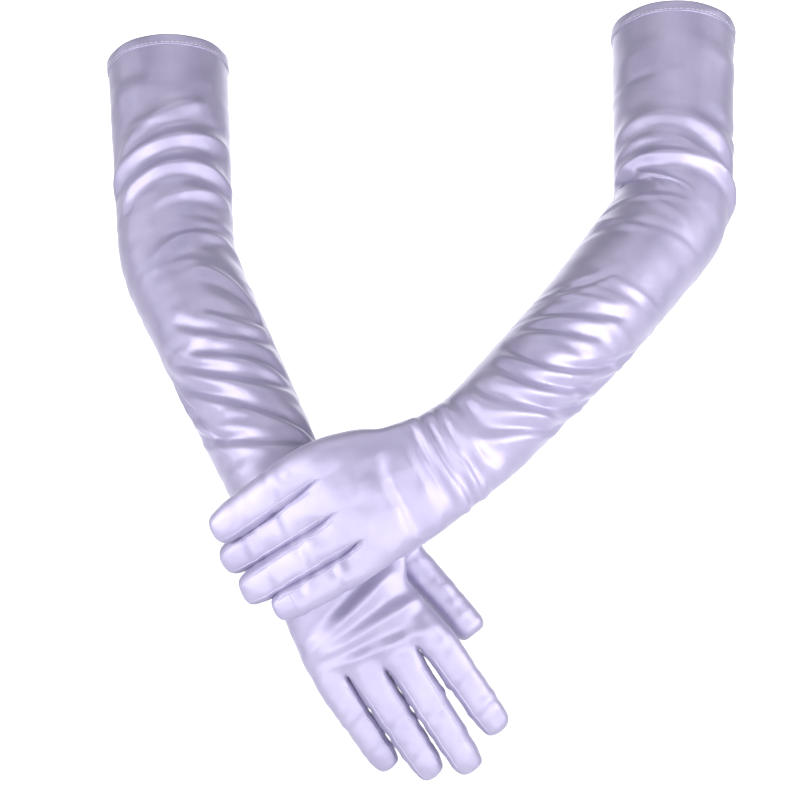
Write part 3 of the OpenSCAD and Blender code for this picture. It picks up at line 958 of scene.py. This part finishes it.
def directed(edges, faces):
    """The edges in the direction in which the faces run along them."""
    known = {tuple(edge) for edge in edges}
    return np.array([run for run in map(tuple, face_sides(faces)) if tuple(sorted(run)) in known])


# ---------------------------------------------------------------- materials


def set_inputs(made, inputs):
    """Sets some inputs of a shader node, by name with _ for a space."""
    for name, value in inputs.items():
        made.inputs[name.replace("_", " ")].default_value = value
    return made


def node(tree, kind, **inputs):
    """A new shader node with some of its inputs set."""
    return set_inputs(tree.nodes.new(kind), inputs)


def colour_steps(tree, factor, stops):
    """A colour ramp driven by factor, with (place, colour) stops."""
    ramp_node = tree.nodes.new("ShaderNodeValToRGB")
    elements = ramp_node.color_ramp.elements
    for element, (place, colour) in zip(elements, stops):
        element.position = place
        element.color = (*colour, 1)
    tree.links.new(factor, ramp_node.inputs[0])
    return ramp_node.outputs[0]


def new_material(name, **inputs):
    """A material with its node tree, its shader with inputs set, and the function that links."""
    material = bpy.data.materials.new(name)
    material.use_nodes = True
    tree = material.node_tree
    return material, tree, set_inputs(tree.nodes["Principled BSDF"], inputs), tree.links.new


def satin_material(name, dark, light, roughness, weave):
    """Woven satin: floating threads lengthwise, an even glow, and slight change of tone."""
    material, tree, shader, link = new_material(
        name,
        Roughness=roughness,
        Specular_IOR_Level=0.8,
        Metallic=0.3,
        Sheen_Weight=0.22,
        Sheen_Roughness=0.4,
        Sheen_Tint=(0.86, 0.84, 1.0, 1),
    )
    place = tree.nodes.new("ShaderNodeTexCoord").outputs["Object"]
    clouds = node(tree, "ShaderNodeTexNoise", Scale=34.0, Detail=4.0, Roughness=0.55)
    link(place, clouds.inputs["Vector"])
    colour = colour_steps(tree, clouds.outputs["Fac"], [(0.32, dark), (0.70, light)])
    link(colour, shader.inputs["Base Color"])
    gloss = node(tree, "ShaderNodeMapRange", To_Min=roughness - 0.05, To_Max=roughness + 0.07)
    link(clouds.outputs["Fac"], gloss.inputs["Value"])
    link(gloss.outputs["Result"], shader.inputs["Roughness"])
    warp = node(tree, "ShaderNodeTexWave", Scale=900.0, Distortion=2.0, Detail=1.0)
    weft = node(tree, "ShaderNodeTexWave", Scale=640.0, Distortion=2.0, Detail=1.0)
    warp.bands_direction = "X"
    weft.bands_direction = "Z"
    both = tree.nodes.new("ShaderNodeMath")
    both.operation = "ADD"
    for thread, slot in ((warp, 0), (weft, 1)):
        link(place, thread.inputs["Vector"])
        link(thread.outputs["Fac"], both.inputs[slot])
    fine = node(tree, "ShaderNodeBump", Strength=weave, Distance=0.00012)
    link(both.outputs[0], fine.inputs["Height"])
    slack = node(tree, "ShaderNodeTexNoise", Scale=95.0, Detail=3.0, Roughness=0.5)
    link(place, slack.inputs["Vector"])
    soft = node(tree, "ShaderNodeBump", Strength=0.22, Distance=0.0011)
    link(slack.outputs["Fac"], soft.inputs["Height"])
    link(fine.outputs["Normal"], soft.inputs["Normal"])
    link(soft.outputs["Normal"], shader.inputs["Normal"])
    return material


def thread_material():
    """Twisted sewing thread, a shade lighter than the cloth, with painted shade in the twist's grooves and painted
    highlight on its ridges.
    """
    material, tree, shader, link = new_material("sewing_thread", Roughness=0.55, Sheen_Weight=0.3)
    place = tree.nodes.new("ShaderNodeTexCoord").outputs["Object"]
    twist = node(tree, "ShaderNodeTexWave", Scale=700.0, Distortion=0.6)
    twist.bands_direction = "DIAGONAL"
    link(place, twist.inputs["Vector"])
    # Painted shade and highlight: the colour follows the bands that the bump raises, darker in the grooves and lighter
    # on the ridges.
    twist_groove_shade = [(0.1, (0.70, 0.67, 0.84)), (0.9, (0.88, 0.86, 0.97))]
    link(colour_steps(tree, twist.outputs["Fac"], twist_groove_shade), shader.inputs["Base Color"])
    lift = node(tree, "ShaderNodeBump", Strength=0.5, Distance=0.0002)
    link(twist.outputs["Fac"], lift.inputs["Height"])
    link(lift.outputs["Normal"], shader.inputs["Normal"])
    return material


def floor_material():
    """Plain pale studio paper."""
    material, tree, shader, link = new_material("studio_paper", Roughness=0.9)
    grain = node(tree, "ShaderNodeTexNoise", Scale=3.0, Detail=2.0)
    greys = [(0.0, (0.93, 0.93, 0.93)), (1.0, (0.97, 0.97, 0.97))]
    link(colour_steps(tree, grain.outputs["Fac"], greys), shader.inputs["Base Color"])
    return material


# ---------------------------------------------------------------- seams, stitches and the hem


class Skin:
    """Finds points on a glove's finished surface along rays from inside it."""

    def __init__(self, surface):
        self.glove = surface.glove
        self.tree = BVHTree.FromPolygons(surface.points.tolist(), surface.faces.tolist())

    def hit(self, origin, direction):
        place, normal, _, _ = self.tree.ray_cast(Vector(origin), Vector(direction))
        if place is None:
            return None
        normal = np.array(normal)
        return np.array(place), normal if normal @ direction > 0 else -normal

    def along_sleeve(self, distances, angle):
        """Points and normals at an angle, in degrees from the front, and distances from the hem."""
        found = []
        turn = np.radians(angle)
        for s in distances:
            out = unit(self.glove.spoke(s, turn))
            found.append(self.hit(self.glove.at(self.glove.line, s), out))
        return [f for f in found if f]


def welt(path, width, height):
    """A rounded ridge along (point, normal) places: its points and faces. Height may be a list."""
    places, normals = map(np.array, zip(*path))
    forward = unit(np.gradient(places, axis=0))
    side = unit(np.cross(forward, normals))
    heights = np.broadcast_to(height, len(places))
    taper = np.minimum(1, np.minimum(np.arange(len(places)), np.arange(len(places))[::-1]) / 2 + 0.35)
    shape = [(np.cos(a), np.sin(a)) for a in np.linspace(0, 2 * np.pi, 8, endpoint=False)]
    rows = []
    for c, s in shape:
        out = (s * heights * taper)[:, None] * normals
        rows.append(places + c * width / 2 * side + out)
    points = np.stack(rows, 1)
    count = len(places)
    index = np.arange(count * 8).reshape(count, 8)
    faces = []
    for k in range(8):
        n = (k + 1) % 8
        faces.append(np.column_stack([index[:-1, k], index[1:, k], index[1:, n], index[:-1, n]]))
    return points.reshape(-1, 3), np.concatenate(faces)


def joined(shapes):
    """Several (points, faces) as one."""
    points, faces, first = [], [], 0
    for some_points, some_faces in shapes:
        points.append(some_points)
        faces.append(some_faces + first)
        first += len(some_points)
    return np.concatenate(points), np.concatenate(faces)


def stitches(path, pitch, length, thickness):
    """Short thread stitches laid along (point, normal) places."""
    places, normals = map(np.array, zip(*path))
    run = np.concatenate([[0], np.cumsum(np.linalg.norm(np.diff(places, axis=0), axis=1))])
    shapes = []
    for start in np.arange(pitch / 2, run[-1] - length, pitch):
        steps = start + np.linspace(0, length, 5)
        line = interpolated(steps, run, places)
        out = unit(interpolated(steps, run, normals))
        arch = np.array([0, 0.8, 1, 0.8, 0]) * thickness * 0.5
        line = line + arch[:, None] * out
        shapes.append(welt(list(zip(line, out)), thickness, thickness / 2))
    return joined(shapes)


def seam_angle(glove):
    """The angle at which the CAD seam runs down the sleeve."""
    _, angle = glove.sleeve_place(glove.node_points("forearm_seam"))
    turn = np.radians(angle)
    return np.degrees(np.arctan2(np.sin(turn).mean(), np.cos(turn).mean()))


HEM_PROFILE = (  # (out from the sleeve's surface, distance from the hem) in mm, round the folded edge
    (-1.1, 6.6), (-1.2, 3.5), (-1.1, 0.9), (-0.75, 0.15), (-0.2, -0.1), (0.3, 0.1), (0.62, 0.7),
    (0.74, 2.0), (0.72, 3.8), (0.58, 5.2), (0.42, 5.9), (0.52, 6.5), (0.36, 7.0), (-0.1, 7.15),
)


def hem_band(glove, material):
    """The turned and stitched hem: a folded band with small puckers between its stitches."""
    turns = np.radians(np.arange(0, 360, 1.5))
    spoke = glove.spoke(0, turns[:, None])
    down = glove.at(glove.tangent, 0)
    rows = []
    for out, s in HEM_PROFILE:
        pucker = 0.10 * np.sin(78 * turns) * (4.5 < s < 6.8) + 0.16 * np.sin(9 * turns + s)
        slope = (glove.HEM_R - glove.ELBOW_R) / glove.elbow_s
        radius = glove.HEM_R - slope * s * MM + (out + pucker) * MM
        drop = (s + 0.12 * np.sin(5 * turns)) * MM
        rows.append(glove.line[0] + spoke * radius[:, None] + drop[:, None] * down)
    points = np.stack(rows, 1)
    index = np.arange(points.shape[0] * points.shape[1]).reshape(points.shape[:2])
    onward = np.roll(index, -1, axis=0)
    faces = np.stack([index[:, :-1], index[:, 1:], onward[:, 1:], onward[:, :-1]], -1).reshape(-1, 4)
    return add_object(f"{glove.side}_hem_band_cloth", points.reshape(-1, 3), faces, material)


def hem_path(glove, s, out):
    """(point, normal) places round the hem at s from its edge, out from the band's surface."""
    turns = np.radians(np.arange(0, 361, 1.5))
    centre = glove.line[0] + s * glove.at(glove.tangent, 0)
    path = []
    for turn in turns:
        spoke = glove.spoke(0, turn)
        path.append((centre + (glove.HEM_R + out) * spoke, spoke))
    return path


def finger_seam_path(skin, finger, angle):
    """(point, normal) places along a finger at an angle from the thumb's side over its back."""
    glove = skin.glove
    axis = glove.axis[finger]
    side = across(glove.thumb_side, axis)
    top = across(glove.back, axis)
    turn = np.radians(angle)
    out = np.cos(turn) * side + np.sin(turn) * top
    path = []
    for d in np.linspace(9 * MM, glove.length[finger] - 5 * MM, 30):
        centre = glove.finger_centre(finger, d)
        hit = skin.hit(centre, out)
        if hit and np.linalg.norm(hit[0] - centre) < 14 * MM:
            path.append(hit)
    return path


def palm_seam_path(skin):
    """(point, normal) places down the little finger's edge of the palm."""
    glove = skin.glove
    path = []
    for x in np.linspace(16, 66, 30):
        hit = skin.hit(glove.in_hand(x * MM, 0, -1.5 * MM), -glove.thumb_side)
        if hit:
            path.append(hit)
    return path


# ---------------------------------------------------------------- a whole glove in its pieces


def attach(thing, slot, *nodes):
    """Names the material slot of a piece and the CAD nodes that it stands for."""
    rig.slot(thing, slot)
    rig.replaces(thing, *nodes)


def sleeve_flats(glove):
    """Each sleeve piece laid flat: once round it, by its length."""
    flats = {}
    for part, low, high in glove.sleeve_zones():
        high += glove.WRIST_AFTER if part == "wrist_sleeve" else 0
        flats[part] = (float(2 * np.pi * glove.sleeve_radius((low + high) / 2)), float(high - low))
    return flats


def dress_sleeves(surface, cloth):
    """The four sleeve pieces, with the elbow and the wrist bending between their neighbours."""
    glove, side = surface.glove, surface.glove.side
    sleeves = {}
    for part, flat in sleeve_flats(glove).items():
        sleeves[part] = part_object(surface, part, cloth, LINING)
        attach(sleeves[part], "satin", f"{side}_{part}")
        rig.sheet(sleeves[part], flat=flat, held="stretched")
    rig.ride(sleeves["upper_sleeve"], f"{side}_upper_arm")
    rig.ride(sleeves["forearm_sleeve"], f"{side}_forearm")
    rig.blend(sleeves["elbow_sleeve"], f"{side}_upper_arm", f"{side}_forearm", *glove.elbow_span())
    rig.blend(sleeves["wrist_sleeve"], f"{side}_forearm", f"{side}_hand", *glove.wrist_span())


def dress_hand(surface, cloth, shaded_fourchette_cloth):
    """The palm, knuckles, thumb piece, fingers and the strips between the fingers."""
    glove, side = surface.glove, surface.glove.side
    for part in ("palm_and_back", "knuckles", "thumb_gusset"):
        piece = part_object(surface, part, cloth)
        attach(piece, "satin", f"{side}_{part}")
        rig.ride(piece, f"{side}_hand")
    thumb = part_object(surface, "thumb", cloth)
    attach(thumb, "satin", f"{side}_thumb")
    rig.blend(thumb, f"{side}_hand", f"{side}_thumb_tip", *glove.thumb_span())
    for index, finger in enumerate(FINGERS):
        parts = [name for name in surface.names if name.endswith(finger) or name.startswith(finger)]
        for part in parts:
            strip = part.startswith("fourchette")
            # The strips get the darker satin copy, painted shade between the fingers.
            piece = part_object(surface, part, shaded_fourchette_cloth if strip else cloth)
            attach(piece, "fourchette_satin" if strip else "satin", f"{side}_{part}")
            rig.blend(piece, f"{side}_hand", f"{side}_{finger}", *glove.finger_span(index))


def sew_fingers(skin, cloth):
    """A narrow welt along each edge of each strip between the fingers."""
    glove, side = skin.glove, skin.glove.side
    for index, finger in enumerate(FINGERS):
        angles = ([] if index == 0 else [45, -45]) + ([] if index == 3 else [135, 225])
        paths = [finger_seam_path(skin, index, angle) for angle in angles]
        shapes = [welt(path, 1.1 * MM, 0.42 * MM) for path in paths if len(path) > 4]
        piece = add_object(f"{side}_{finger}_seams", *joined(shapes), cloth)
        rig.slot(piece, "satin")
        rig.blend(piece, f"{side}_hand", f"{side}_{finger}", *glove.finger_span(index))


def seam_thread(name, path, direction, thread):
    """The stitches beside a seam: path is (point, normal) places and direction the way down the arm."""
    beside = [(p + 1.3 * MM * np.cross(n, direction), n) for p, n in path]
    sewn = add_object(name, *stitches(beside, 2.6 * MM, 1.7 * MM, 0.35 * MM), thread)
    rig.slot(sewn, "thread")
    return sewn


def sew_sleeve(skin, cloth, thread):
    """The side seam down the sleeve, its stitches, and the seam down the palm's edge."""
    glove, side = skin.glove, skin.glove.side
    angle = seam_angle(glove)
    down = glove.tangent[0]
    step, low, high = 2 * MM, 0.75 * MM, 2.6 * MM
    zone = glove.ELBOW_ZONE + 12 * MM
    upper = np.arange(8 * MM, glove.elbow_s - zone, step)
    lower = np.arange(glove.elbow_s + zone, glove.wrist_s - glove.WRIST_BEFORE, step)
    middle = np.arange(glove.elbow_s - zone - step, glove.elbow_s + zone + step, step)
    flap = low + high * bump(upper / MM - 24, 11)
    for part, distances, height, body in (
        ("upper_seam", upper, flap, "upper_arm"),
        ("forearm_seam", lower, low, "forearm"),
    ):
        path = skin.along_sleeve(distances, angle)
        piece = add_object(f"{side}_{part}_welt", *welt(path, 1.5 * MM, height), cloth)
        attach(piece, "satin", f"{side}_{part}")
        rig.ride(piece, f"{side}_{body}")
        sewn = seam_thread(f"{side}_{part}_stitches", path, down, thread)
        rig.ride(sewn, f"{side}_{body}")
    path = skin.along_sleeve(middle, angle)
    bending = add_object(f"{side}_elbow_seam_welt", *welt(path, 1.5 * MM, low), cloth)
    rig.slot(bending, "satin")
    sewn = seam_thread(f"{side}_elbow_seam_stitches", path[1:-1], down, thread)
    for piece in (bending, sewn):
        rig.blend(piece, f"{side}_upper_arm", f"{side}_forearm", *glove.elbow_span())
    edge = add_object(f"{side}_palm_seam_welt", *welt(palm_seam_path(skin), 1.3 * MM, 0.5 * MM), cloth)
    attach(edge, "satin", f"{side}_palm_seam")
    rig.ride(edge, f"{side}_hand")


def sew_hem(glove, cloth, thread):
    """The hem's folded band and its line of stitches."""
    side = glove.side
    band = hem_band(glove, cloth)
    attach(band, "satin", f"{side}_hem_band")
    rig.ride(band, f"{side}_upper_arm")
    path = hem_path(glove, 5.7 * MM, 0.40 * MM)
    sewn = add_object(f"{side}_hem_stitches", *stitches(path, 3.0 * MM, 2.1 * MM, 0.45 * MM), thread)
    attach(sewn, "thread", f"{side}_hem_stitching")
    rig.ride(sewn, f"{side}_upper_arm")


# ---------------------------------------------------------------- the studio


def area_light(name, place, target, size, power):
    """A soft square light that faces target."""
    light = bpy.data.lights.new(name, "AREA")
    light.shape = "RECTANGLE"
    light.size, light.size_y = size
    light.energy = power
    thing = bpy.data.objects.new(name, light)
    thing.location = place
    thing.rotation_euler = (Vector(target) - Vector(place)).to_track_quat("-Z", "Y").to_euler()
    bpy.context.scene.collection.objects.link(thing)


HANDS = (0.17, -0.17, -0.34)
ARMS = (0.15, -0.05, -0.12)
LIGHTS = (  # (name, place, what it faces, size, power)
    ("overhead_key", (0.12, -0.72, 1.30), ARMS, (1.0, 0.45), 3.6),
    ("low_left", (-0.30, -0.80, -0.50), HANDS, (0.35, 0.6), 1.3),
    ("low_right", (0.66, -0.80, -0.46), HANDS, (0.35, 0.6), 1.9),
    ("front_fill", (0.15, -1.3, -0.62), (0.15, -0.1, -0.22), (1.0, 0.4), 4.5),
    ("mid_left", (-0.25, -0.42, -0.22), (0.06, -0.05, -0.24), (0.2, 0.26), 1.15),
    ("mid_right", (0.58, -0.42, -0.20), (0.22, -0.08, -0.22), (0.2, 0.26), 1.35),
    ("right_strip", (1.5, -0.3, 0.1), ARMS, (0.3, 1.2), 3),
    ("left_strip", (-1.2, -0.3, 0.1), ARMS, (0.3, 1.2), 3),
    ("backdrop_wash", (0.15, 0.9, 1.3), (0.15, 2.9, 0.6), (3.0, 1.2), 100),
)


def make_studio():
    """A pale floor that curves up behind, a white surround and soft lights."""
    world = bpy.data.worlds.new("studio")
    world.use_nodes = True
    world.node_tree.nodes["Background"].inputs["Color"].default_value = (1, 1, 1, 1)
    world.node_tree.nodes["Background"].inputs["Strength"].default_value = 0.16
    bpy.context.scene.world = world
    bpy.context.scene.view_settings.view_transform = "Standard"
    for light in LIGHTS:
        area_light(*light)
    low, turn_y, radius = -0.78, 1.6, 1.2
    steps = np.linspace(0, np.pi / 2, 13)
    curve = [(turn_y + radius * np.sin(a), low + radius * (1 - np.cos(a))) for a in steps]
    profile = [(-4.0, low), *curve, (turn_y + radius, low + 4.5)]
    points = [(x, y, z) for y, z in profile for x in (-5.0, 5.0)]
    faces = [(2 * k, 2 * k + 1, 2 * k + 3, 2 * k + 2) for k in range(len(profile) - 1)]
    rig.stage(add_object("studio_floor", points, faces, floor_material()))


def make_camera():
    """The camera: level, as far from the hands as a standing photographer."""
    camera = bpy.data.cameras.new("camera")
    camera.lens = 75
    camera.sensor_width = 36
    thing = bpy.data.objects.new("camera", camera)
    thing.location = (0.1485, -1.0673, -0.2147)
    thing.rotation_euler = (np.pi / 2, 0, 0)
    bpy.context.scene.collection.objects.link(thing)
    bpy.context.scene.camera = thing


# ---------------------------------------------------------------- building it all

RIGHT_THUMB_PATH = (  # (centre, direction, half length, half height) in the hand, in mm
    ((34.5, 39.5, -5), (0.25, 0.95, -0.2), 13.5, 9.5),
    ((36.5, 43, -10), (0.7, 0.7, -0.15), 12.0, 10.6),
)
LEFT_THUMB_PATH = (
    ((34.5, 23, -10), (0, -0.05, -1), 11.5, 4.5),
    ((34, 23, -16.5), (0, -0.5, -0.86), 10.5, 6.5),
    ((34, 22.5, -21.5), (0, -0.9, -0.4), 10.0, 8.5),
)

make_studio()
make_camera()
satin = satin_material("lilac_satin", (0.42, 0.385, 0.58), (0.51, 0.47, 0.67), 0.31, 0.25)
# The strips between the fingers take a darker copy of the same satin: painted shade between the fingers. Its higher
# roughness and deeper weave are the cloth's own.
fourchette_satin = satin_material("fourchette_satin", (0.34, 0.31, 0.49), (0.43, 0.39, 0.58), 0.38, 0.3)
thread = thread_material()

right_glove = Glove(
    "right",
    bow=(0, 0, 0),
    finger_width=(1.16, 1.06),
    fork_reach=(-2, 1, -2),
    finger_curl=(0.05, 0.04, 0.05, 0.05),
    tip_drift=((0, 0, 0),) * 4,
    thumb_edge=0,
    thumb_path=RIGHT_THUMB_PATH,
)
left_glove = Glove(
    "left",
    bow=(0.002, 0, -0.0018),
    finger_width=(1.28, 1.20),
    fork_reach=(8, 8, 8),
    finger_curl=(0.06, 0.05, 0.06, 0.06),
    tip_drift=((-6, 0, -5), (-3, 0, -1), (-5, 0, -2), (-7, 0, -2)),
    thumb_edge=3.5,
    thumb_path=LEFT_THUMB_PATH,
)
for glove, folds, creases, seed in (
    (right_glove, RIGHT_FOLDS, RIGHT_CREASES, 3),
    (left_glove, LEFT_FOLDS, LEFT_CREASES, 8),
):
    surface = Surface(glove, folds, creases, seed)
    skin = Skin(surface)
    dress_sleeves(surface, satin)
    dress_hand(surface, satin, fourchette_satin)
    sew_fingers(skin, satin)
    sew_sleeve(skin, satin, thread)
    sew_hem(glove, satin, thread)

with open("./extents.json", "w") as size_file:
    json.dump({"cad": [list(v) for v in cad_bounds], "visual": [list(v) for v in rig.bounds()]}, size_file)
